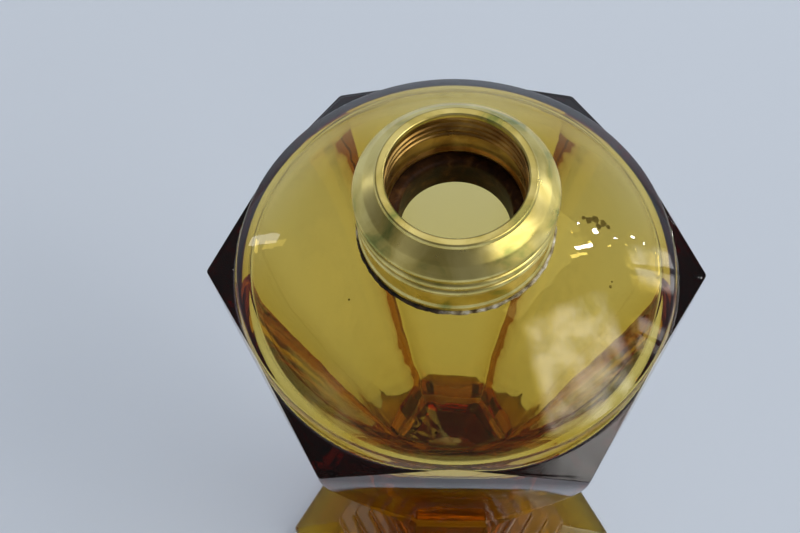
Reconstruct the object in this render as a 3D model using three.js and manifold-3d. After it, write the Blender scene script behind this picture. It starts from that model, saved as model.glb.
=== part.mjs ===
// Hexagonal amber glass scent bottle for an atomiser: a thick faceted glass body with a round
// domed shoulder, tapering down to a solid six-sided stem and a wide stepped foot.
// A brass collar is cemented over the short glass neck. It has an outer shell and, inside it,
// a threaded ferrule that the spray head screws into. Millimetres, +Z up, foot on z = 0,
// one flat side facing -Y and two corners of the hexagon on the X axis.
import * as THREE from 'three';
import { mergeVertices } from 'three/addons/utils/BufferGeometryUtils.js';
import Module from 'manifold-3d';

const wasm = await Module();
wasm.setup();

// Driving dimensions
const RIM_RADIUS = 29;            // centre to corner at the widest level
const RIM_HEIGHT = 104;           // level of the six corners at the shoulder
const BODY_BOTTOM = 43;           // level of the underside of the body
const TAPER = 0.275;              // loss of corner radius for each millimetre down the body
const TAPER_EASE = 3;             // the upright top of the flat sides eases into the taper
const BODY_LEVELS = 7;            // rings along the body's flat sides
const STEM_RADIUS = 11.4;         // centre to corner of the stem
const STEM_COVE = 5;              // height over which the stem swells into the body
const FOOT_RADIUS = 28.6;         // centre to corner of the foot
const FOOT_EDGE = 4;              // height of the foot's upright edge
const FOOT_BEVEL = 0.6;           // chamfer round the underside
const FOOT_SLOPE_TOP = 8.4;       // level where the foot's sloping facets meet the lowest step
const STEP_COUNT = 3;             // steps between the stem and the foot
const STEP_RISE = 2.4;
const STEP_RUN = 2.9;
const RECESS_RADIUS = 17;         // hollow ground into the underside
const RECESS_DEPTH = 1.2;

const DOME_RADIUS = 40;           // sphere of the shoulder
const DOME_CENTRE = RIM_HEIGHT - 27.4;
const DOME_EDGE = 25.4;           // radius where the round shoulder drops to the lands
const DOME_FILLET = 0.8;
const LAND_SLOPE = 0.48;          // fall of the flat lands that run out to the corners
const LAND_CUT = 8;               // the lands stop this far above the rim, hidden in the dome
const BELOW_FOOT = -1;            // the solids that trim the shoulder start just below the foot

const NECK_RADIUS = 8.6;
const NECK_TOP = RIM_HEIGHT + 14.1;
const NECK_ROUND = 0.5;
const BORE_RADIUS = 6.1;
const BORE_BOTTOM = RIM_HEIGHT + 10.6;
const CAVITY_DOME = 37.1;         // sphere of the inner shoulder, about 3 mm inside the outer one
const CAVITY_RADIUS = 23.35;
const CAVITY_SHOULDER = 4.1;      // round between the inner dome and the side
const CAVITY_CORNERS = 0.75;      // the side of the cavity bulges this far towards the arrises
const SIDE_LEVELS = 4;            // rings along the side of the cavity
const BOWL_RADIUS = 9.5;          // round bottom of the cavity
const CAVITY_FLOOR = RIM_HEIGHT - 56;

const COLLAR_BASE = RIM_HEIGHT + 11.5;
const COLLAR_RADIUS = 10.86;      // widest, at the shoulder of the collar
const COLLAR_SHOULDER = RIM_HEIGHT + 18.6;
const COLLAR_TOP = RIM_HEIGHT + 20.75;
const COLLAR_MOUTH = 7.95;
const BRASS_WALL = 0.5;
const LIP_TOP = RIM_HEIGHT + 21.4;
const LIP_RADIUS = 8.5;
const FERRULE_RADIUS = 7.85;
const FERRULE_BORE = 7.55;
const THREAD_CREST = 7.27;
const THREAD_PITCH = 0.9;
const THREAD_TURNS = 4;
const FERRULE_BOTTOM = NECK_TOP + 0.2;
const CEMENT_GAP = 0.15;          // clearance kept between pieces that touch

const ROUND_STEPS = 48;           // sides of every round surface
const HEX_PHASE = Math.PI / 6;    // turns a six-sided solid so that its corners lie on X

const v = (r, z) => new THREE.Vector2(r, z);

// Points on a circular arc in the (radius, height) plane, angles in degrees from +radius
function arc(centreR, centreZ, radius, fromDeg, toDeg, steps) {
  const points = [];
  for (let i = 0; i <= steps; i += 1) {
    const a = THREE.MathUtils.degToRad(fromDeg + ((toDeg - fromDeg) * i) / steps);
    points.push(v(centreR + radius * Math.cos(a), centreZ + radius * Math.sin(a)));
  }
  return points;
}

// Height of a sphere centred on the axis, at a given radius
const sphereHeight = (radius, centre, r) => centre + Math.sqrt(radius * radius - r * r);
const sphereAngle = (radius, r) => THREE.MathUtils.radToDeg(Math.acos(r / radius));

// A turned solid, standing on +Z; six steps make a hexagonal one
function turned(profile, steps = ROUND_STEPS, phase = 0) {
  const geometry = new THREE.LatheGeometry(profile, steps, phase);
  geometry.rotateX(Math.PI / 2);
  return geometry;
}

function toSolid(geometry) {
  const bare = geometry.clone();
  bare.deleteAttribute('normal');
  bare.deleteAttribute('uv');
  const merged = mergeVertices(bare, 1e-4);
  const mesh = new wasm.Mesh({
    numProp: 3,
    vertProperties: new Float32Array(merged.attributes.position.array),
    triVerts: new Uint32Array(merged.index.array),
  });
  mesh.merge();
  return new wasm.Manifold(mesh);
}

function toGeometry(solid) {
  const mesh = solid.getMesh();
  const geometry = new THREE.BufferGeometry();
  geometry.setAttribute('position', new THREE.BufferAttribute(mesh.vertProperties, 3));
  geometry.setIndex(new THREE.BufferAttribute(mesh.triVerts, 1));
  geometry.computeVertexNormals();
  return geometry;
}

// Corner radius of the body: upright above the corners, easing into an even taper below
function bodyRadius(z) {
  const drop = Math.max(0, RIM_HEIGHT - z);
  return RIM_RADIUS - TAPER * (drop - TAPER_EASE * (1 - Math.exp(-drop / TAPER_EASE)));
}

// Profile points up the body's flat sides, closer together near the top
function bodySides() {
  const points = [];
  for (let i = 0; i <= BODY_LEVELS; i += 1) {
    const share = 1 - (1 - i / BODY_LEVELS) ** 2;
    const z = BODY_BOTTOM + (RIM_HEIGHT - BODY_BOTTOM) * share;
    points.push(v(bodyRadius(z), z));
  }
  return points;
}

// The faceted outside: foot, steps, stem and body, carried on past the shoulder
function facetedSolid() {
  const clear = LIP_TOP + 2;
  const swell = bodyRadius(BODY_BOTTOM) - STEM_RADIUS;
  const steps = [];
  for (let i = STEP_COUNT; i >= 1; i -= 1) {
    const radius = STEM_RADIUS + i * STEP_RUN;
    const base = FOOT_SLOPE_TOP + (STEP_COUNT - i) * STEP_RISE;
    steps.push(v(radius, base), v(radius, base + STEP_RISE));
  }
  return toSolid(turned([
    v(0, 0),
    v(FOOT_RADIUS - FOOT_BEVEL, 0),
    v(FOOT_RADIUS, FOOT_BEVEL),
    v(FOOT_RADIUS, FOOT_EDGE),
    ...steps,
    v(STEM_RADIUS, FOOT_SLOPE_TOP + STEP_COUNT * STEP_RISE),
    v(STEM_RADIUS, BODY_BOTTOM - STEM_COVE),
    v(STEM_RADIUS + 0.35 * swell, BODY_BOTTOM - 0.4 * STEM_COVE),
    ...bodySides(),
    v(RIM_RADIUS, clear),
    v(0, clear),
  ], 6, HEX_PHASE));
}

// The round shoulder with its rounded edge, and the short neck on top
function domeSolid() {
  const filletCentre = DOME_EDGE - DOME_FILLET;
  const filletHeight = sphereHeight(DOME_RADIUS - DOME_FILLET, DOME_CENTRE, filletCentre);
  const meetAngle = sphereAngle(DOME_RADIUS - DOME_FILLET, filletCentre);
  return toSolid(turned([
    v(0, BELOW_FOOT),
    v(DOME_EDGE, BELOW_FOOT),
    ...arc(filletCentre, filletHeight, DOME_FILLET, 0, meetAngle, 4),
    ...arc(0, DOME_CENTRE, DOME_RADIUS, meetAngle, sphereAngle(DOME_RADIUS, NECK_RADIUS), 9).slice(1),
    ...arc(NECK_RADIUS - NECK_ROUND, NECK_TOP - NECK_ROUND, NECK_ROUND, 0, 90, 3),
    v(0, NECK_TOP),
  ]));
}

// Six flat lands that fall from the round shoulder to the corners
function landSolid() {
  const landRadius = (z) => (RIM_RADIUS + (RIM_HEIGHT - z) / LAND_SLOPE) / Math.cos(Math.PI / 6);
  const top = RIM_HEIGHT + LAND_CUT;
  const wide = landRadius(BELOW_FOOT);
  return toSolid(turned([v(0, BELOW_FOOT), v(wide, BELOW_FOOT), v(landRadius(top), top), v(0, top)], 6));
}

// Pushes the cavity's side out towards the six arrises and in towards the flat sides
function bulgeToArrises(geometry) {
  const position = geometry.attributes.position;
  for (let i = 0; i < position.count; i += 1) {
    const x = position.getX(i);
    const y = position.getY(i);
    const depth = THREE.MathUtils.clamp((RIM_HEIGHT - position.getZ(i)) / 12, 0, 1);
    const angle = Math.atan2(y, x);
    const scale = 1 + (CAVITY_CORNERS / CAVITY_RADIUS) * depth * Math.cos(6 * angle);
    position.setXY(i, x * scale, y * scale);
  }
  return geometry;
}

// The blown hollow: round bottom, tapering side, inner dome and neck bore
function cavitySolid() {
  const shoulderR = CAVITY_RADIUS - CAVITY_SHOULDER;
  const shoulderZ = sphereHeight(CAVITY_DOME - CAVITY_SHOULDER, DOME_CENTRE, shoulderR);
  const meetAngle = sphereAngle(CAVITY_DOME - CAVITY_SHOULDER, shoulderR);
  const bowlZ = CAVITY_FLOOR + BOWL_RADIUS;
  const rise = shoulderZ - bowlZ;
  const lean = Math.atan2(shoulderR, rise)
    + Math.asin((CAVITY_SHOULDER - BOWL_RADIUS) / Math.hypot(rise, shoulderR));
  const sideAngle = -THREE.MathUtils.radToDeg(lean);
  const bowl = arc(0, bowlZ, BOWL_RADIUS, -90, sideAngle, 6);
  bowl[0].x = 0;
  const sideLow = bowl[bowl.length - 1];
  const shoulder = arc(shoulderR, shoulderZ, CAVITY_SHOULDER, sideAngle, meetAngle, 5);
  const side = [];
  for (let i = 1; i < SIDE_LEVELS; i += 1) {
    side.push(sideLow.clone().lerp(shoulder[0], i / SIDE_LEVELS));
  }
  return toSolid(bulgeToArrises(turned([
    ...bowl,
    ...side,
    ...shoulder,
    ...arc(0, DOME_CENTRE, CAVITY_DOME, meetAngle, sphereAngle(CAVITY_DOME, BORE_RADIUS + 1), 7).slice(1),
    v(BORE_RADIUS, BORE_BOTTOM),
    v(BORE_RADIUS, LIP_TOP + 1),
    v(0, LIP_TOP + 1),
  ])));
}

function glassGeometry() {
  const outside = facetedSolid().intersect(domeSolid().add(landSolid()));
  const recess = toSolid(turned([
    v(0, BELOW_FOOT),
    v(RECESS_RADIUS, BELOW_FOOT),
    v(RECESS_RADIUS, 0),
    v(RECESS_RADIUS - 3, RECESS_DEPTH),
    v(0, RECESS_DEPTH),
  ]));
  return toGeometry(outside.subtract(cavitySolid()).subtract(recess));
}

// Outside of the collar from its base up: foot bead, plain band, two beads, shoulder, cone
function collarOutline() {
  const bead = (z, radius, height) => arc(radius - height, z, height, -90, 90, 3);
  return [
    v(COLLAR_RADIUS - 0.2, COLLAR_BASE),
    v(COLLAR_RADIUS - 0.2, COLLAR_BASE + 0.7),
    v(COLLAR_RADIUS - 0.4, COLLAR_BASE + 1),
    v(COLLAR_RADIUS - 0.4, COLLAR_BASE + 3.1),
    ...bead(COLLAR_BASE + 3.8, COLLAR_RADIUS - 0.1, 0.55),
    ...bead(COLLAR_BASE + 5.2, COLLAR_RADIUS - 0.05, 0.6),
    v(COLLAR_RADIUS - 0.45, COLLAR_SHOULDER - 0.7),
    ...arc(COLLAR_RADIUS - 0.45, COLLAR_SHOULDER - 0.15, 0.45, -45, 50, 3),
    v(COLLAR_MOUTH + 0.35, COLLAR_TOP),
    v(COLLAR_MOUTH, COLLAR_TOP),
  ];
}

function collarGeometry() {
  const outer = collarOutline();
  const innerRadius = COLLAR_RADIUS - 0.65 - BRASS_WALL;
  const inner = [
    v(COLLAR_MOUTH, COLLAR_TOP - BRASS_WALL),
    v(innerRadius, COLLAR_SHOULDER - 0.4),
    v(innerRadius, COLLAR_BASE),
  ];
  return turned([...outer, ...inner, outer[0].clone()]);
}

// Inside of the ferrule from the top down: lip, thread turns, plain wall, inward bottom edge
function ferruleGeometry() {
  const bore = [];
  const threadTop = LIP_TOP - 0.9;
  for (let i = 0; i < THREAD_TURNS; i += 1) {
    const z = threadTop - i * THREAD_PITCH;
    bore.push(v(THREAD_CREST, z), v(FERRULE_BORE, z - THREAD_PITCH / 2));
  }
  const profile = [
    v(FERRULE_RADIUS, FERRULE_BOTTOM),
    v(FERRULE_RADIUS, COLLAR_TOP + 0.1),
    v(LIP_RADIUS - 0.1, COLLAR_TOP + 0.1),
    v(LIP_RADIUS, LIP_TOP - 0.3),
    v(LIP_RADIUS - 0.25, LIP_TOP),
    v(THREAD_CREST + 0.2, LIP_TOP),
    ...bore,
    v(FERRULE_BORE, FERRULE_BOTTOM + 0.9),
    v(THREAD_CREST, FERRULE_BOTTOM + 0.5),
    v(THREAD_CREST, FERRULE_BOTTOM),
  ];
  return turned([...profile, profile[0].clone()]);
}

// Plaster packed between the neck and the shell, seated on the dome
function cementGeometry() {
  const inner = NECK_RADIUS + CEMENT_GAP;
  const outer = COLLAR_RADIUS - 0.65 - BRASS_WALL - CEMENT_GAP;
  const seat = (r) => sphereHeight(DOME_RADIUS, DOME_CENTRE, r) + CEMENT_GAP;
  const profile = [
    v(inner, seat(inner)),
    v(outer, seat(outer)),
    v(outer, NECK_TOP - 0.4),
    v(inner, NECK_TOP - 0.1),
  ];
  return turned([...profile, profile[0].clone()]);
}

function piece(name, geometry, color, roughness, metalness) {
  const material = new THREE.MeshStandardMaterial({ color, roughness, metalness });
  const mesh = new THREE.Mesh(geometry, material);
  mesh.name = name;
  return mesh;
}

const group = new THREE.Group();
group.add(
  piece('glass_bottle', glassGeometry(), 0xb98f2e, 0.04, 0),
  piece('neck_cement', cementGeometry(), 0xd8d2c4, 0.9, 0),
  piece('collar_shell', collarGeometry(), 0xc8be7c, 0.28, 1),
  piece('threaded_ferrule', ferruleGeometry(), 0xc9b55c, 0.25, 1),
);

export default group;
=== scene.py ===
import math

import bpy
import numpy as np
from mathutils import Matrix, Vector, noise


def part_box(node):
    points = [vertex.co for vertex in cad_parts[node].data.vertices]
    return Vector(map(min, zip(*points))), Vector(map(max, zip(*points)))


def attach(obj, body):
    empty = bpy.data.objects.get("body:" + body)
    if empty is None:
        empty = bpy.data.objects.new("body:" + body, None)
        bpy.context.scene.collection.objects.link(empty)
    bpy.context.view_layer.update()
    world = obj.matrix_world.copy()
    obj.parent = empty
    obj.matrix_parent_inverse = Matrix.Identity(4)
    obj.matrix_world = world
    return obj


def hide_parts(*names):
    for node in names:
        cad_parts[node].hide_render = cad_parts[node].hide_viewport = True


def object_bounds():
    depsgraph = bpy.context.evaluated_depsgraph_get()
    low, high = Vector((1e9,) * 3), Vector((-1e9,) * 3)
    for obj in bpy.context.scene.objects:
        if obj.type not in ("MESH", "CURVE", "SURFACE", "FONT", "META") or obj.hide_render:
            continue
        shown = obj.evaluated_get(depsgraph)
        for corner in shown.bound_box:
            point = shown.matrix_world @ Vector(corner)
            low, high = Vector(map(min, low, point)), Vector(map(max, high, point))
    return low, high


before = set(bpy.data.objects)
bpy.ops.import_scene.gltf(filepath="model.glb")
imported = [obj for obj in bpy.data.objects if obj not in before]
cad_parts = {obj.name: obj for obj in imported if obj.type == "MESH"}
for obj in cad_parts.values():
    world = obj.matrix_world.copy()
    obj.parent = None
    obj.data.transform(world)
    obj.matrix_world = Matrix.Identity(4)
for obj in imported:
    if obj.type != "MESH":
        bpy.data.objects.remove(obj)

CAD_LOW, CAD_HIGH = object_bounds()
MM = 0.001

# ---------------------------------------------------------------- sizes, in millimetres
GLASS_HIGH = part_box("glass_bottle")[1] / MM
SHELL_LOW, SHELL_HIGH = (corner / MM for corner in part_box("collar_shell"))
FERRULE_LOW, FERRULE_HIGH = (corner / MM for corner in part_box("threaded_ferrule"))

NECK_TOP = GLASS_HIGH.z
RIM = NECK_TOP - 14.1               # level of the six corners of the shoulder
RIM_RADIUS = GLASS_HIGH.x           # centre to corner there
BODY_BOTTOM = 43.0
TAPER = 0.275                       # loss of corner radius for each millimetre down the body
TAPER_EASE = 3.0                    # the upright top of the flat sides eases into the taper
STEM_RADIUS = 11.4
STEM_COVE = 5.0                     # height over which the stem swells into the body
FOOT_RADIUS = 28.6
FOOT_EDGE = 4.0
FOOT_BEVEL = 0.6
FOOT_SLOPE_TOP = 8.4
STEP_COUNT = 3
STEP_RISE = 2.4
STEP_RUN = 2.9
RECESS_RADIUS = 17.0
RECESS_DEPTH = 1.2
EDGE_ROUND = 0.5                    # radius worn on the top edge of a flat side, at the corners
EDGE_SOFTER = 0.7                   # the same edge is this much rounder in the middle of a side
ARRIS_ROUND = 0.55                  # radius worn on the upright edges

DOME_RADIUS = 40.0
DOME_CENTRE = RIM - 27.4
DOME_ROLL = 24.8                    # radius where the shoulder starts to roll over
DOME_ROLL_RATE = 6.0
LAND_SLOPE = 0.48
LAND_BLEND = 0.35
NECK_RADIUS = 8.6
BORE_RADIUS = 6.1
BORE_BOTTOM = RIM + 10.6
BORE_SHADE_REACH = 1.3                   # how far the painted shade goes past the bore

CAVITY_DOME = 37.1
CAVITY_RADIUS = 23.35
CAVITY_SHOULDER = 4.1               # radius of the turn from the inner dome to the side
BOWL_RADIUS = 9.5                   # round bottom of the cavity
CAVITY_FLOOR = RIM - 56
CAVITY_CORNERS = 0.75               # the blown wall follows the arrises outward by this much
CAVITY_WAVE = 0.12                  # unevenness of the blown inner wall

SHELL_RADIUS = 10.86
SHELL_MOUTH = 7.95
SHELL_WALL_RADIUS = 9.71            # inside of the shell
SHELL_BAND = 3.1                    # height of the plain band, up to the beads
SHELL_BEADS = [(3.8, 0.1, 0.55), (5.2, 0.05, 0.6)]      # height, inset and half size of each
SHELL_SHOULDER = RIM + 18.6
SHELL_CONE_BULGE = (9.75, 0.52)     # radius, and share of the way up the cone
SHELL_DENT = 0.012                  # unevenness of the thin brass

FERRULE_RADIUS = 7.85
FERRULE_LIP = 8.5
FERRULE_SEAT = SHELL_HIGH.z + 0.1
THREAD_PITCH = 0.9
THREAD_TURNS = 4
THREAD_CREST = 7.27
THREAD_ROOT = 7.55

CEMENT_RADIUS = 9.56
CEMENT_GAP = 0.1                    # between the plaster and the glass
CEMENT_CRUMBLE = 0.08
SQUEEZE_RADIUS = 10.62              # the plaster line in the corner under the shell
SQUEEZE_THICK = 0.17
SQUEEZE_LEAST = 0.05
SQUEEZE_LUMPS = 0.10
SQUEEZE_SWELLS = [(-35, 2, 0.10), (-128, 3, 0.12)]      # angle, sharpness and size of the thick parts
# Painted shade: a dark blot on the shaded left of the plaster line under the shell
SHADE_SPOT_X, SHADE_SPOT_Y = -7.6, -8.4       # the middle of the painted shade on the plaster line
SHADE_SPOT_RADIUS = 7.0

# The dark fleck on the dome, and then four specks: x, y, radius and raggedness of each blot
GLASS_MARKS = [
    (14.0, 1.7, 0.28, 0.25),
    (14.6, 1.5, 0.42, 0.3),
    (15.3, 1.7, 0.5, 0.35),
    (15.7, 1.0, 0.35, 0.3),
    (16.2, 1.5, 0.42, 0.35),
    (16.8, 1.2, 0.25, 0.25),
    (-1.9, -22.0, 0.14, 0.06),
    (-11.3, -8.6, 0.12, 0.06),
    (16.7, -6.0, 0.18, 0.1),
    (16.9, -5.4, 0.1, 0.05),
]

# ---------------------------------------------------------------- colours, lights and camera
GLASS_TINT = (0.922, 0.822, 0.25)
GLASS_DENSITY = 400                 # absorption, for each metre
BRASS_COLOURS = [(0.30, (0.30, 0.33, 0.09)), (0.45, (0.72, 0.58, 0.17)), (0.62, (0.93, 0.78, 0.29))]
BROWN_COLOURS = [(0.30, (0.20, 0.10, 0.03)), (0.45, (0.40, 0.22, 0.06)), (0.62, (0.74, 0.47, 0.15))]
# Painted shade: opaque dark browns for the glass of the neck's mouth and bore
BORE_SHADE_COLOURS = [(0.35, (0.02, 0.007, 0.002)), (0.55, (0.055, 0.02, 0.006)), (0.72, (0.16, 0.07, 0.02))]
PLASTER_COLOURS = [(0.38, (0.06, 0.045, 0.03)), (0.5, (0.42, 0.38, 0.3)), (0.66, (0.78, 0.75, 0.68))]
# The plaster line's own mottled colours, then the painted shade that darkens its left
SQUEEZE_COLOURS = [(0.36, (0.10, 0.06, 0.02)), (0.52, (0.50, 0.42, 0.26)), (0.68, (0.85, 0.82, 0.74))]
SHADE_SPOT_COLOURS = [(0.4, (0.010, 0.007, 0.005)), (0.7, (0.10, 0.06, 0.03))]
FLOOR_COLOURS = [(0.3, (0.62, 0.66, 0.74)), (0.7, (0.65, 0.69, 0.77))]
FLOOR_HALF = 2.0
FLOOR_GAP = 0.00002                 # keeps the floor clear of the foot
LEAF_COLOURS = [(0.36, (0.12, 0.14, 0.11)), (0.48, (0.55, 0.55, 0.5)), (0.6, (1, 0.99, 0.96))]

# Height above the horizon, as a sine, and the colour of the room there
WORLD_STOPS = [(0.03, (0.50, 0.56, 0.66)), (0.14, (0.36, 0.39, 0.44)), (0.34, (0.13, 0.13, 0.135)),
               (1.0, (0.10, 0.10, 0.10))]
NO_BAR = 0.0001
# Soft windows: azimuth, elevation, roll, half width, half height, softness, half the bar, brightness
WINDOWS = [
    (109.3, 40.6, 45, 0.34, 0.30, 0.05, NO_BAR, 3.8),
    (66, 13, 0, 0.10, 0.16, 0.02, 0.02, 3.4),
    (88, 16, 0, 0.08, 0.14, 0.02, 0.02, 2.6),
    (4, 61, 0, 0.35, 0.35, 0.25, NO_BAR, 1.0),
    (-128, 28, 0, 0.2, 0.3, 0.15, NO_BAR, 0.35),
]
# Small bright gaps between curtains and leaves: azimuth, elevation, size across and up, power
GLINTS = [
    (59, 41, 0.02, 0.12, 0.35),
    (54, 34, 0.02, 0.02, 0.20),
    (49, 38, 0.010, 0.010, 0.03),
    (58, 27, 0.008, 0.014, 0.02),
    (58, 20, 0.012, 0.014, 0.04),
    (60, 17, 0.009, 0.009, 0.02),
    (-59, 15, 0.05, 0.20, 0.10),
]
GLINT_DISTANCE = 1.0
FILL_PLACE = Vector((0.4, 0.8, 1.6))
FILL_SIZE = 1.6
FILL_POWER = 19.0
FILL_COLOUR = (0.84, 0.92, 1.0)

VIEW_AZIMUTH = 4.44                 # degrees, turned from looking along +Y towards looking along -X
VIEW_PITCH = 61.65                  # degrees below level
VIEW_ROLL = 3.46                    # degrees
LENS = 59.13                        # millimetres on a 36 mm sensor
CAMERA_OFFSET = Vector((-0.026, -2.469, 4.643))     # from the middle of the rim, in rim radii


# ---------------------------------------------------------------- outlines
def fillet_path(corners):
    """Turns (r, z, fillet, steps) corners into points, with a fixed count for given steps."""
    count = len(corners)
    points = []
    for i, (r, z, radius, steps) in enumerate(corners):
        here = np.array((r, z))
        if radius <= 0 or i in (0, count - 1):
            points.append(here)
            continue
        before = np.array(corners[i - 1][:2]) - here
        after = np.array(corners[i + 1][:2]) - here
        len_before, len_after = np.linalg.norm(before), np.linalg.norm(after)
        before, after = before / max(len_before, 1e-9), after / max(len_after, 1e-9)
        cosine = float(np.clip(before @ after, -0.9999, 0.9999))
        half = math.acos(cosine) / 2
        reach = min(radius / math.tan(half), 0.45 * len_before, 0.45 * len_after)
        radius = reach * math.tan(half)
        middle = before + after
        middle /= max(np.linalg.norm(middle), 1e-9)
        centre = here + middle * radius / math.sin(half)
        start = here + before * reach - centre
        end = here + after * reach - centre
        sweep = math.pi - 2 * half
        turn = 1 if start[0] * end[1] - start[1] * end[0] > 0 else -1
        points.append(here + before * min(1.6 * reach, 0.48 * len_before))
        for k in range(steps + 1):
            a = turn * sweep * k / steps
            ca, sa = math.cos(a), math.sin(a)
            points.append(centre + np.array((ca * start[0] - sa * start[1], sa * start[0] + ca * start[1])))
        points.append(here + after * min(1.6 * reach, 0.48 * len_after))
    return points


def hexagon_radius(corner_radius, phi, worn=ARRIS_ROUND):
    """Radius of a worn hexagon at the angle phi from its nearest corner."""
    c30 = math.cos(math.pi / 6)
    apothem = corner_radius * c30
    centre = (apothem - worn) / c30
    tangent = math.atan2(worn * 0.5, centre + worn * c30)
    if phi < tangent:
        return centre * math.cos(phi) + math.sqrt(worn ** 2 - (centre * math.sin(phi)) ** 2)
    return apothem / math.cos(math.pi / 6 - phi)


def sphere_height(radius, r):
    return DOME_CENTRE + math.sqrt(radius * radius - r * r)


def on_dome(x, y):
    """The place on the dome over (x, y)."""
    return x, y, sphere_height(DOME_RADIUS, math.hypot(x, y))


def smooth_max(a, b, width):
    h = max(width - abs(a - b), 0) / width
    return max(a, b) + h * h * width / 4


def shoulder_height(r, phi):
    """Height of the top of the shoulder: the round dome, or the land that falls to a corner."""
    land = RIM + LAND_SLOPE * (RIM_RADIUS - r * math.cos(phi))
    dome = sphere_height(DOME_RADIUS, r) - DOME_ROLL_RATE * max(0.0, r - DOME_ROLL) ** 2
    if r < DOME_ROLL - 3:
        return dome
    return smooth_max(land, dome, LAND_BLEND)


def body_radius(z):
    """Corner radius of the body: upright above the corners, easing into an even taper below."""
    drop = max(0.0, RIM - z)
    return RIM_RADIUS - TAPER * (drop - TAPER_EASE * (1 - math.exp(-drop / TAPER_EASE)))


def facet_top(phi):
    """Where a flat side meets the land at the angle phi from a corner."""
    r = hexagon_radius(RIM_RADIUS, phi)
    for _ in range(6):
        z = RIM + LAND_SLOPE * (RIM_RADIUS - r * math.cos(phi))
        r = hexagon_radius(body_radius(z), phi)
    return r, z


def arc_points(r, z, radius, start, end, steps):
    """Points of an arc about (r, z); angles are taken from straight up towards outward."""
    angles = [start + (end - start) * k / steps for k in range(steps + 1)]
    return [np.array((r + radius * math.sin(a), z + radius * math.cos(a))) for a in angles]


def cavity_outline():
    """The inside below the bore: inner dome, round shoulder, straight side and round bottom."""
    turn_r = CAVITY_RADIUS - CAVITY_SHOULDER
    reach = CAVITY_DOME - CAVITY_SHOULDER
    turn_z = DOME_CENTRE + math.sqrt(reach ** 2 - turn_r ** 2)
    bowl_z = CAVITY_FLOOR + BOWL_RADIUS
    rise = turn_z - bowl_z
    lean = math.atan2(turn_r, rise) + math.asin((CAVITY_SHOULDER - BOWL_RADIUS) / math.hypot(rise, turn_r))
    side = math.pi / 2 + lean
    first = math.asin((BORE_RADIUS + 2.2) / CAVITY_DOME)
    join = math.asin(turn_r / reach)
    return (arc_points(0, DOME_CENTRE, CAVITY_DOME, first, join, 14)[:-1]
            + arc_points(turn_r, turn_z, CAVITY_SHOULDER, join, side, 20)
            + straight_steps(turn_r, turn_z, bowl_z, side, 12)
            + arc_points(0, bowl_z, BOWL_RADIUS, side, math.pi, 20))


def straight_steps(turn_r, turn_z, bowl_z, side, steps):
    """Points between the shoulder and the bottom, along the line that touches both rounds."""
    top = np.array((turn_r + CAVITY_SHOULDER * math.sin(side), turn_z + CAVITY_SHOULDER * math.cos(side)))
    low = np.array((BOWL_RADIUS * math.sin(side), bowl_z + BOWL_RADIUS * math.cos(side)))
    return [top + (low - top) * k / steps for k in range(1, steps)]


def glass_outline(phi):
    """The glass from the middle of its underside, up the outside, down the bore to the floor."""
    def at(corner_radius, z, fillet, steps=4):
        return hexagon_radius(corner_radius, phi), z, fillet, steps

    corners = [(0.0, RECESS_DEPTH, 0, 0)]
    corners += [(r, RECESS_DEPTH + 0.05 * (r / 14) ** 2, 0, 0) for r in (4.0, 8.0)]
    corners += [
        (RECESS_RADIUS - 3, RECESS_DEPTH, 1.0, 3),
        (RECESS_RADIUS, 0.0, 0.8, 3),
        at(FOOT_RADIUS - FOOT_BEVEL, 0.0, 0.4),
        at(FOOT_RADIUS, FOOT_BEVEL, 0.5),
        at(FOOT_RADIUS, FOOT_EDGE, 0.7, 6),
    ]
    for i in range(STEP_COUNT, 0, -1):
        base = FOOT_SLOPE_TOP + (STEP_COUNT - i) * STEP_RISE
        radius = STEM_RADIUS + i * STEP_RUN
        corners += [at(radius, base, 0.4), at(radius, base + STEP_RISE, 0.45)]
    swell = body_radius(BODY_BOTTOM) - STEM_RADIUS
    corners += [
        at(STEM_RADIUS, FOOT_SLOPE_TOP + STEP_COUNT * STEP_RISE, 1.0),
        at(STEM_RADIUS, BODY_BOTTOM - STEM_COVE, 0.5),
        at(STEM_RADIUS + 0.35 * swell, BODY_BOTTOM - 0.4 * STEM_COVE, 1.2, 4),
        at(body_radius(BODY_BOTTOM), BODY_BOTTOM, 0.8, 5),
    ]
    levels = 24
    for k in range(1, levels + 1):
        share = 1 - (1 - k / (levels + 1)) ** 2
        z = BODY_BOTTOM + (RIM - 0.6 - BODY_BOTTOM) * share
        corners.append(at(body_radius(z), z, 0))
    rim_r, rim_z = facet_top(phi)
    corners.append((rim_r, rim_z, EDGE_ROUND + EDGE_SOFTER * (phi / (math.pi / 6)) ** 2, 7))

    roll_steps = 30
    for k in range(1, roll_steps + 1):
        r = rim_r + (DOME_ROLL - 0.6 - rim_r) * (k / roll_steps)
        corners.append((r, shoulder_height(r, phi), 0, 0))
    dome_steps = 26
    for k in range(1, dome_steps):
        r = DOME_ROLL - 0.6 + (NECK_RADIUS + 1.6 - DOME_ROLL) * k / dome_steps
        corners.append((r, shoulder_height(r, phi), 0, 0))
    corners += [
        (NECK_RADIUS, sphere_height(DOME_RADIUS, NECK_RADIUS), 0.9, 6),
        (NECK_RADIUS, NECK_TOP, 0.5, 5),
        (BORE_RADIUS, NECK_TOP, 0.5, 5),
        (BORE_RADIUS, BORE_BOTTOM - 0.4, 0.6, 8),
    ]
    return fillet_path(corners) + cavity_outline()


# ---------------------------------------------------------------- mesh helpers
def new_piece(name, verts, faces, materials):
    mesh = bpy.data.meshes.new(name)
    mesh.from_pydata([tuple(p) for p in verts], [], faces)
    mesh.update()
    mesh.shade_smooth()
    piece = bpy.data.objects.new(name, mesh)
    bpy.context.scene.collection.objects.link(piece)
    for material in materials:
        mesh.materials.append(material)
    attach(piece, "root")
    return piece


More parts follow.
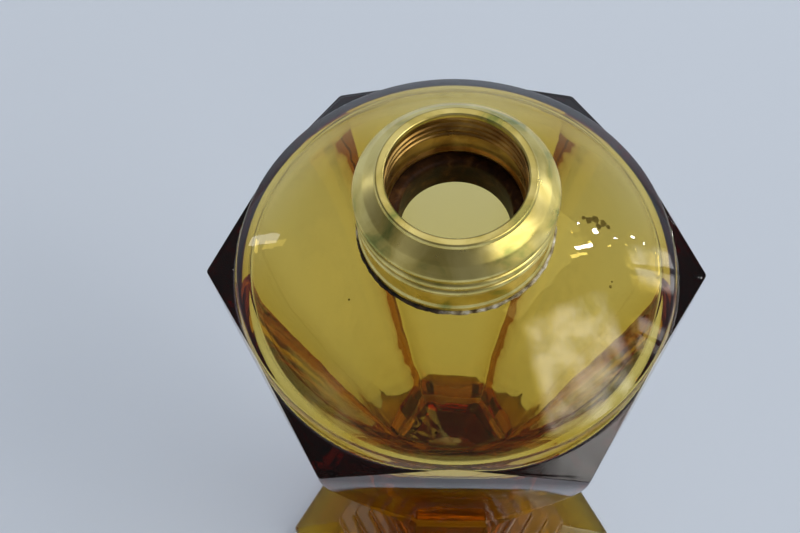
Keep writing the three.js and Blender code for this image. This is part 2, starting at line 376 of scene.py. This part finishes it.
def skin(rings, closed_ends):
    """Vertices and faces of a tube of rings; rings[k] is a list of points in order round the axis."""
    verts, faces = [], []
    starts = []
    for ring in rings:
        starts.append(len(verts))
        verts += ring
    sides = max(len(ring) for ring in rings)
    for a, b, first, second in zip(starts, starts[1:], rings, rings[1:]):
        for i in range(sides):
            j = (i + 1) % sides
            if len(first) == 1:
                faces.append((a, b + j, b + i))
            elif len(second) == 1:
                faces.append((a + i, a + j, b))
            else:
                faces.append((a + i, a + j, b + j, b + i))
    if closed_ends:
        a, b = starts[-1], starts[0]
        for i in range(sides):
            j = (i + 1) % sides
            faces.append((a + i, a + j, b + j, b + i))
    return verts, faces


def turned_rings(outline, sides, wobble=None):
    """Rings of a turned piece; wobble(r, z, angle) may nudge each point."""
    rings = []
    for r, z in outline:
        ring = []
        for i in range(sides):
            a = 2 * math.pi * i / sides
            dr, dz = wobble(r, z, a) if wobble else (0, 0)
            ring.append(Vector(((r + dr) * math.cos(a), (r + dr) * math.sin(a), z + dz)) * MM)
        rings.append(ring)
    return rings


# ---------------------------------------------------------------- materials
MIX_A, MIX_B, MIX_RESULT = 6, 7, 2   # the colour sockets of a mix node


def new_material(name):
    material = bpy.data.materials.new(name)
    material.use_nodes = True
    tree = material.node_tree
    tree.nodes.clear()
    output = tree.nodes.new("ShaderNodeOutputMaterial")
    shader = tree.nodes.new("ShaderNodeBsdfPrincipled")
    tree.links.new(shader.outputs["BSDF"], output.inputs["Surface"])
    return material, tree, shader, output


def add(tree, kind, **settings):
    node = tree.nodes.new(kind)
    for key, value in settings.items():
        if hasattr(node, key):
            setattr(node, key, value)
        else:
            node.inputs[key.replace("_", " ")].default_value = value
    return node


def ramp(tree, source, stops):
    node = tree.nodes.new("ShaderNodeValToRGB")
    while len(node.color_ramp.elements) < len(stops):
        node.color_ramp.elements.new(0.5)
    for element, (place, colour) in zip(node.color_ramp.elements, stops):
        element.position = place
        element.color = (*colour, 1) if len(colour) == 3 else colour
    tree.links.new(source, node.inputs["Fac"])
    return node.outputs["Color"]


def span(tree, source, low, high):
    node = add(tree, "ShaderNodeMapRange")
    node.inputs["To Min"].default_value = low
    node.inputs["To Max"].default_value = high
    tree.links.new(source, node.inputs["Value"])
    return node.outputs["Result"]


def object_noise(tree, scale, detail=3.0, stretch=(1, 1, 1), distortion=0.0):
    coords = add(tree, "ShaderNodeTexCoord")
    mapping = add(tree, "ShaderNodeMapping")
    mapping.inputs["Scale"].default_value = stretch
    texture = add(tree, "ShaderNodeTexNoise")
    texture.inputs["Scale"].default_value = scale
    texture.inputs["Detail"].default_value = detail
    texture.inputs["Distortion"].default_value = distortion
    tree.links.new(coords.outputs["Object"], mapping.inputs["Vector"])
    tree.links.new(mapping.outputs["Vector"], texture.inputs["Vector"])
    return texture.outputs["Fac"]


def bump(tree, shader, height, strength, distance):
    node = add(tree, "ShaderNodeBump")
    node.inputs["Strength"].default_value = strength
    node.inputs["Distance"].default_value = distance
    tree.links.new(height, node.inputs["Height"])
    tree.links.new(node.outputs["Normal"], shader.inputs["Normal"])


def math_node(tree, operation, first, second=None):
    node = add(tree, "ShaderNodeMath", operation=operation)
    for socket, value in zip(node.inputs, (first, second)):
        if isinstance(value, (int, float)):
            socket.default_value = value
        elif value is not None:
            tree.links.new(value, socket)
    return node.outputs["Value"]


def smooth(tree, source, low, high):
    """0 at low, 1 at high."""
    node = add(tree, "ShaderNodeMapRange", interpolation_type="SMOOTHSTEP")
    node.inputs["From Min"].default_value = low
    node.inputs["From Max"].default_value = high
    tree.links.new(source, node.inputs["Value"])
    return node.outputs["Result"]


def near(tree, place, radius, ragged=0.0):
    """1 inside a blot of this radius round a place on the piece, 0 outside; millimetres."""
    coords = add(tree, "ShaderNodeTexCoord")
    away = add(tree, "ShaderNodeVectorMath", operation="DISTANCE")
    tree.links.new(coords.outputs["Object"], away.inputs[0])
    away.inputs[1].default_value = [value * MM for value in place]
    distance = away.outputs["Value"]
    if ragged:
        shift = span(tree, object_noise(tree, 2600, 4), -ragged * MM, ragged * MM)
        distance = math_node(tree, "ADD", distance, shift)
    return smooth(tree, distance, radius * 1.15 * MM, radius * 0.85 * MM)


def glass_material():
    material, tree, shader, output = new_material("amber_glass_look")
    marks = None
    for x, y, radius, ragged in GLASS_MARKS:
        mark = near(tree, on_dome(x, y), radius, ragged)
        marks = mark if marks is None else math_node(tree, "MAXIMUM", marks, mark)
    tree.links.new(ramp(tree, marks, [(0.0, (1.0, 0.985, 0.94)), (1.0, (0.10, 0.08, 0.04))]),
                   shader.inputs["Base Color"])
    shader.inputs["Transmission Weight"].default_value = 1.0
    shader.inputs["IOR"].default_value = 1.52
    smudge = object_noise(tree, 70, 5, distortion=0.6)
    tree.links.new(span(tree, ramp(tree, smudge, [(0.52, (0, 0, 0)), (0.78, (1, 1, 1))]), 0.0, 0.07),
                   shader.inputs["Roughness"])
    bump(tree, shader, object_noise(tree, 160, 2), 0.25, 0.0002)
    absorb = add(tree, "ShaderNodeVolumeAbsorption")
    absorb.inputs["Color"].default_value = (*GLASS_TINT, 1)
    absorb.inputs["Density"].default_value = GLASS_DENSITY
    tree.links.new(absorb.outputs["Volume"], output.inputs["Volume"])
    return material


def brass_material(name, colours):
    material, tree, shader, _ = new_material(name)
    shader.inputs["Metallic"].default_value = 1.0
    tone = object_noise(tree, 180, 6, distortion=1.0)
    tree.links.new(ramp(tree, tone, colours), shader.inputs["Base Color"])
    dull = object_noise(tree, 420, 4)
    tree.links.new(span(tree, dull, 0.22, 0.38), shader.inputs["Roughness"])
    turning = object_noise(tree, 60, 8, stretch=(1, 1, 60))
    bump(tree, shader, turning, 0.25, 0.00006)
    return material


def bore_shade_material():
    """Painted shade: the ground mouth of the neck, opaque dark brown in place of the amber glass."""
    material, tree, shader, _ = new_material("neck_painted_shade")
    tone = object_noise(tree, 700, 6, distortion=0.5)
    tree.links.new(ramp(tree, tone, BORE_SHADE_COLOURS), shader.inputs["Base Color"])
    shader.inputs["Roughness"].default_value = 0.55
    shader.inputs["Specular IOR Level"].default_value = 0.2
    bump(tree, shader, object_noise(tree, 2500, 3), 0.5, 0.0001)
    return material


def plaster_material():
    material, tree, shader, _ = new_material("old_plaster")
    tone = object_noise(tree, 900, 6)
    tree.links.new(ramp(tree, tone, PLASTER_COLOURS), shader.inputs["Base Color"])
    shader.inputs["Roughness"].default_value = 0.9
    bump(tree, shader, object_noise(tree, 1500, 5), 0.6, 0.0002)
    return material


def squeeze_material():
    """Plaster squeezed out under the shell, with painted shade darkening it at the left."""
    material, tree, shader, _ = new_material("squeezed_plaster")
    tone = object_noise(tree, 1100, 6)
    # painted shade: a dark blot at the shaded left, over the plaster's own mottled colours
    shade_spot = near(tree, on_dome(SHADE_SPOT_X, SHADE_SPOT_Y), SHADE_SPOT_RADIUS, 1.2)
    mix = add(tree, "ShaderNodeMix", data_type="RGBA")
    tree.links.new(shade_spot, mix.inputs["Factor"])
    tree.links.new(ramp(tree, tone, SQUEEZE_COLOURS), mix.inputs[MIX_A])
    tree.links.new(ramp(tree, tone, SHADE_SPOT_COLOURS), mix.inputs[MIX_B])
    tree.links.new(mix.outputs[MIX_RESULT], shader.inputs["Base Color"])
    shader.inputs["Roughness"].default_value = 0.85
    bump(tree, shader, object_noise(tree, 2200, 4), 0.5, 0.0001)
    return material


def floor_material():
    material, tree, shader, _ = new_material("pale_floor")
    tone = object_noise(tree, 3, 4)
    tree.links.new(ramp(tree, tone, FLOOR_COLOURS), shader.inputs["Base Color"])
    shader.inputs["Roughness"].default_value = 0.75
    return material


# ---------------------------------------------------------------- glass
def glass_angles():
    """Angles round the axis, crowded towards the six arrises, with the angle from the nearest one."""
    per_half = 22
    halves = [(math.pi / 6) * (k / per_half) ** 2 for k in range(per_half + 1)]
    angles = []
    for corner in range(6):
        base = corner * math.pi / 3
        angles += [(base + phi, phi) for phi in halves[:-1]]
        angles += [(base + math.pi / 3 - phi, phi) for phi in reversed(halves[1:])]
    return angles


def paint_bore_shade(mesh):
    """Gives the flat mouth of the neck and the bore under it the dark painted-shade material."""
    for face in mesh.polygons:
        centre = face.center / MM
        radius = math.hypot(centre.x, centre.y)
        inside = radius < NECK_RADIUS - 0.3 and centre.z > BORE_BOTTOM - BORE_SHADE_REACH
        if inside and (centre.z > NECK_TOP - 0.6 or radius < BORE_RADIUS + BORE_SHADE_REACH):
            face.material_index = 1


def build_glass():
    angles = glass_angles()
    outlines = [glass_outline(phi) for _, phi in angles]
    count = len(outlines[0])
    rings = []
    for k in range(count):
        ring = []
        inside = outlines[0][k][1] < BORE_BOTTOM - 2 and k > count // 2
        for (angle, _), outline in zip(angles, outlines):
            r, z = outline[k]
            if inside:
                place = Vector((math.cos(angle) * r, math.sin(angle) * r, z)) / 14
                depth = min(1.0, max(0.0, (RIM - z) / 12))
                r += CAVITY_WAVE * noise.noise(place)
                r += CAVITY_CORNERS * depth * r / CAVITY_RADIUS * math.cos(6 * angle)
            ring.append(Vector((r * math.cos(angle), r * math.sin(angle), z)) * MM)
        if outlines[0][k][0] < 1e-6:
            ring = [Vector((0, 0, outlines[0][k][1])) * MM]
        rings.append(ring)
    verts, faces = skin(rings, closed_ends=False)
    # the second material is the painted shade of the neck's mouth and bore
    piece = new_piece("bottle_glass", verts, faces, [glass_material(), bore_shade_material()])
    paint_bore_shade(piece.data)
    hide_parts("glass_bottle")


# ---------------------------------------------------------------- collar
def bead(z, crest, half):
    steps = 10
    return [(crest - half + half * math.cos(a), z + half * math.sin(a))
            for a in (math.pi * (k / steps - 0.5) for k in range(steps + 1))]


def build_shell():
    base, shoulder, top = SHELL_LOW.z, SHELL_SHOULDER, SHELL_HIGH.z
    widest, mouth, wall = SHELL_RADIUS, SHELL_MOUTH, SHELL_WALL_RADIUS
    bulge_radius, bulge_share = SHELL_CONE_BULGE
    corners = [
        (widest - 0.2, base, 0.1, 2),
        (widest - 0.2, base + 0.7, 0.2, 3),
        (widest - 0.4, base + 1.0, 0.15, 3),
        (widest - 0.4, base + SHELL_BAND, 0.15, 3),
    ]
    for height, inset, half in SHELL_BEADS:
        corners += [(r, z, 0, 0) for r, z in bead(base + height, widest - inset, half)]
    corners += [
        (widest - 0.45, shoulder - 0.7, 0.12, 3),
        (widest, shoulder - 0.45, 0.25, 5),
        (widest, shoulder, 0.8, 8),
        (bulge_radius, shoulder + bulge_share * (top - shoulder), 2.0, 6),
        (mouth + 0.35, top, 0.3, 5),
        (mouth, top, 0.1, 3),
        (mouth, top - 0.5, 0.1, 2),
        (wall, shoulder - 0.4, 0.4, 4),
        (wall, base, 0.1, 2),
    ]
    outline = fillet_path([corners[-1]] + corners + [corners[0]])[1:-1]

    def dent(_, z, a):
        spot = Vector((math.cos(a), math.sin(a), z / 6)) * 1.3
        return SHELL_DENT * noise.noise(spot), SHELL_DENT * noise.noise(spot + Vector((7, 0, 0)))

    verts, faces = skin(turned_rings(outline, 192, dent), closed_ends=True)
    brass = brass_material("spun_brass", BRASS_COLOURS)
    piece = new_piece("collar_shell_brass", verts, faces, [brass])
    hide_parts("collar_shell")


def thread_radius(z, angle, thread_top):
    """Inside of the ferrule: a helical ridge that fades in and out, with plain wall past it."""
    length = THREAD_PITCH * THREAD_TURNS
    depth = thread_top - z
    if depth < 0:
        return THREAD_CREST + 0.12
    if depth > length:
        return THREAD_ROOT
    fade = min(1, depth / 0.5, (length - depth) / 0.5)
    phase = (z / THREAD_PITCH - angle / (2 * math.pi)) % 1
    ridge = 0.5 + 0.5 * math.cos(2 * math.pi * phase)
    return THREAD_ROOT - (THREAD_ROOT - THREAD_CREST) * ridge ** 2 * fade


def thread_rings(start, end, thread_top, sides):
    levels = 12 * (THREAD_TURNS + 1)
    rings = []
    for k in range(levels + 1):
        z = start + (end - start) * k / levels
        ring = []
        for i in range(sides):
            a = 2 * math.pi * i / sides
            r = thread_radius(z, a, thread_top)
            ring.append(Vector((r * math.cos(a), r * math.sin(a), z)) * MM)
        rings.append(ring)
    return rings


def brown_inside(mesh, top):
    """Gives the threaded inside the browner brass, up to just under the lip."""
    for face in mesh.polygons:
        centre = face.center / MM
        if math.hypot(centre.x, centre.y) < THREAD_ROOT + 0.1 and centre.z < top - 0.55:
            face.material_index = 1


def build_ferrule():
    bottom, top = FERRULE_LOW.z, FERRULE_HIGH.z
    sides = 240
    start, end = top - 0.6, bottom + 1.2
    outer = fillet_path([
        (FERRULE_RADIUS, bottom, 0, 0),
        (FERRULE_RADIUS, bottom, 0.1, 2),
        (FERRULE_RADIUS, FERRULE_SEAT, 0.1, 3),
        (FERRULE_LIP - 0.1, FERRULE_SEAT, 0.1, 3),
        (FERRULE_LIP, top - 0.5, 0.2, 4),
        (FERRULE_LIP - 0.1, top, 0.45, 8),
        (THREAD_CREST + 0.14, top, 0.42, 8),
        (THREAD_CREST + 0.12, top - 0.5, 0, 0),
    ])[1:]
    foot = fillet_path([
        (THREAD_ROOT, end, 0, 0),
        (THREAD_ROOT, bottom + 0.9, 0.2, 3),
        (THREAD_CREST, bottom + 0.5, 0.2, 3),
        (THREAD_CREST, bottom, 0.15, 3),
        (FERRULE_RADIUS, bottom, 0, 0),
    ])[1:-1]
    rings = turned_rings(outer, sides) + thread_rings(start, end, top - 0.7, sides)
    rings += turned_rings(foot, sides)
    verts, faces = skin(rings, closed_ends=True)
    brass = brass_material("threaded_brass", BRASS_COLOURS)
    brown = brass_material("brown_brass", BROWN_COLOURS)
    piece = new_piece("ferrule_brass", verts, faces, [brass, brown])
    brown_inside(piece.data, top)
    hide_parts("threaded_ferrule")


def build_cement():
    inner, outer = NECK_RADIUS + 0.15, CEMENT_RADIUS
    low_in = sphere_height(DOME_RADIUS, inner) + CEMENT_GAP
    low_out = sphere_height(DOME_RADIUS, outer) + CEMENT_GAP
    outline = fillet_path([
        (inner, low_in, 0, 0),
        (inner, low_in, 0.1, 2),
        (outer, low_out, 0.1, 2),
        (outer, NECK_TOP - 0.4, 0.3, 4),
        (inner, NECK_TOP - 0.1, 0.3, 4),
        (inner, low_in, 0, 0),
    ])[1:-1]

    def crumble(r, z, a):
        return CEMENT_CRUMBLE * noise.noise(Vector((r * math.cos(a), r * math.sin(a), z)) * 0.9), 0.0

    verts, faces = skin(turned_rings(outline, 160, crumble), closed_ends=True)
    piece = new_piece("plaster_ring", verts, faces, [plaster_material()])
    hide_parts("neck_cement")


def squeeze_thickness(a):
    """Half the thickness of the plaster line at the angle a from +X."""
    spot = Vector((math.cos(a), math.sin(a), 0.0))
    thick = SQUEEZE_THICK + SQUEEZE_LUMPS * (noise.noise(spot * 9) + 0.6 * noise.noise(spot * 31))
    for angle, sharpness, size in SQUEEZE_SWELLS:
        thick += size * max(0.0, math.cos(a - math.radians(angle))) ** sharpness
    return max(SQUEEZE_LEAST, thick)


def build_squeeze():
    """An uneven line of plaster in the corner between the shell and the dome."""
    sides, around = 300, 12
    height = sphere_height(DOME_RADIUS, SQUEEZE_RADIUS) + 0.10
    rings = []
    for k in range(around):
        turn = 2 * math.pi * k / around
        ring = []
        for i in range(sides):
            a = 2 * math.pi * i / sides
            thick = squeeze_thickness(a)
            r = SQUEEZE_RADIUS + 1.1 * thick * math.cos(turn)
            z = height + 0.9 * thick * math.sin(turn)
            ring.append(Vector((r * math.cos(a), r * math.sin(a), z)) * MM)
        rings.append(ring)
    verts, faces = skin(rings, closed_ends=True)
    new_piece("plaster_squeeze", verts, faces, [squeeze_material()])


# ---------------------------------------------------------------- stage, light and camera
def build_stage():
    half = FLOOR_HALF
    verts = [(-half, -half, 0), (half, -half, 0), (half, half, 0), (-half, half, 0)]
    mesh = bpy.data.meshes.new("floor")
    mesh.from_pydata(verts, [], [(0, 1, 2, 3)])
    mesh.materials.append(floor_material())
    floor = bpy.data.objects.new("floor", mesh)
    bpy.context.scene.collection.objects.link(floor)
    floor.location.z = CAD_LOW.z - FLOOR_GAP


def area_light(name, place, target, size, power, colour=(1, 1, 1)):
    data = bpy.data.lights.new(name, "AREA")
    data.shape = "RECTANGLE"
    data.size, data.size_y = size
    data.energy = power
    data.color = colour
    light = bpy.data.objects.new(name, data)
    light.location = place
    light.rotation_euler = (Vector(target) - Vector(place)).to_track_quat("-Z", "Y").to_euler()
    light.visible_camera = False
    bpy.context.scene.collection.objects.link(light)
    return light


def toward(azimuth, elevation, distance):
    """A place seen from the middle of the bottle; azimuth 0 is +Y and 90 is +X."""
    return (CAD_LOW + CAD_HIGH) / 2 + distance * direction(azimuth, elevation)


def direction(azimuth, elevation):
    az, el = math.radians(azimuth), math.radians(elevation)
    return Vector((math.sin(az) * math.cos(el), math.cos(az) * math.cos(el), math.sin(el)))


def dot(tree, source, vector):
    node = add(tree, "ShaderNodeVectorMath", operation="DOT_PRODUCT")
    tree.links.new(source, node.inputs[0])
    node.inputs[1].default_value = vector
    return node.outputs["Value"]


def pane(tree, sight, angles, halves, soft, bar):
    """A soft-edged window with one upright bar, seen from the bottle; sizes are tangents."""
    azimuth, elevation, roll = angles
    half_width, half_height = halves
    middle = direction(azimuth, elevation)
    level = Vector((math.cos(math.radians(azimuth)), -math.sin(math.radians(azimuth)), 0))
    turn = Matrix.Rotation(math.radians(roll), 3, middle)
    right = turn @ level
    up = turn @ level.cross(middle)
    depth = math_node(tree, "MAXIMUM", dot(tree, sight, middle), 0.05)
    across = math_node(tree, "ABSOLUTE", math_node(tree, "DIVIDE", dot(tree, sight, right), depth))
    along = math_node(tree, "ABSOLUTE", math_node(tree, "DIVIDE", dot(tree, sight, up), depth))
    mask = math_node(tree, "MULTIPLY", smooth(tree, across, half_width + soft, half_width - soft),
                     smooth(tree, along, half_height + soft, half_height - soft))
    return math_node(tree, "MULTIPLY", mask, smooth(tree, across, bar * 0.4, bar))


def build_world():
    """A room that is pale near the horizon and darker above, with soft windows onto trees."""
    world = bpy.data.worlds.new("studio")
    bpy.context.scene.world = world
    world.use_nodes = True
    tree = world.node_tree
    background = tree.nodes["Background"]
    coords = tree.nodes.new("ShaderNodeTexCoord")
    sight = coords.outputs["Generated"]
    split = tree.nodes.new("ShaderNodeSeparateXYZ")
    tree.links.new(sight, split.inputs["Vector"])
    total = ramp(tree, split.outputs["Z"], WORLD_STOPS)
    leaves = tree.nodes.new("ShaderNodeTexNoise")
    leaves.inputs["Scale"].default_value = 7.0
    leaves.inputs["Detail"].default_value = 9.0
    leaves.inputs["Roughness"].default_value = 0.5
    tree.links.new(sight, leaves.inputs["Vector"])
    shade = ramp(tree, leaves.outputs["Fac"], LEAF_COLOURS)
    for azimuth, elevation, roll, half_width, half_height, soft, bar, level in WINDOWS:
        mask = pane(tree, sight, (azimuth, elevation, roll), (half_width, half_height), soft, bar)
        strength = math_node(tree, "MULTIPLY", mask, level)
        lit = add(tree, "ShaderNodeVectorMath", operation="SCALE")
        tree.links.new(shade, lit.inputs[0])
        tree.links.new(strength, lit.inputs["Scale"])
        joined = add(tree, "ShaderNodeVectorMath", operation="ADD")
        tree.links.new(total, joined.inputs[0])
        tree.links.new(lit.outputs["Vector"], joined.inputs[1])
        total = joined.outputs["Vector"]
    tree.links.new(total, background.inputs["Color"])
    background.inputs["Strength"].default_value = 1.0


def build_light():
    """Small glints, and a wide ceiling light that reflections don't show."""
    centre = (CAD_LOW + CAD_HIGH) / 2
    for i, (azimuth, elevation, across, up, power) in enumerate(GLINTS):
        area_light(f"glint_{i}", toward(azimuth, elevation, GLINT_DISTANCE), centre, (across, up), power)
    fill = area_light("ceiling", FILL_PLACE, centre, (FILL_SIZE, FILL_SIZE), FILL_POWER, FILL_COLOUR)
    fill.visible_glossy = False


def build_camera():
    scene = bpy.context.scene
    data = bpy.data.cameras.new("camera")
    data.sensor_width = 36
    data.lens = LENS
    camera = bpy.data.objects.new("camera", data)
    rim_centre = Vector((0, 0, RIM * MM))
    camera.location = rim_centre + CAMERA_OFFSET * RIM_RADIUS * MM
    azimuth, pitch, roll = (math.radians(v) for v in (VIEW_AZIMUTH, VIEW_PITCH, VIEW_ROLL))
    turn = Matrix.Rotation(azimuth, 3, "Z") @ Matrix.Rotation(math.pi / 2 - pitch, 3, "X")
    camera.rotation_euler = (turn @ Matrix.Rotation(-roll, 3, "Z")).to_euler()
    data.clip_start, data.clip_end = 0.01, 50
    data.dof.use_dof = False
    scene.collection.objects.link(camera)
    scene.camera = camera


def build_look():
    scene = bpy.context.scene
    scene.view_settings.view_transform = "Standard"
    scene.cycles.max_bounces = 24
    scene.cycles.transmission_bounces = 20
    scene.cycles.glossy_bounces = 12
    scene.cycles.diffuse_bounces = 4


build_camera()
build_glass()
build_shell()
build_ferrule()
build_cement()
build_squeeze()
build_stage()
build_world()
build_light()
build_look()
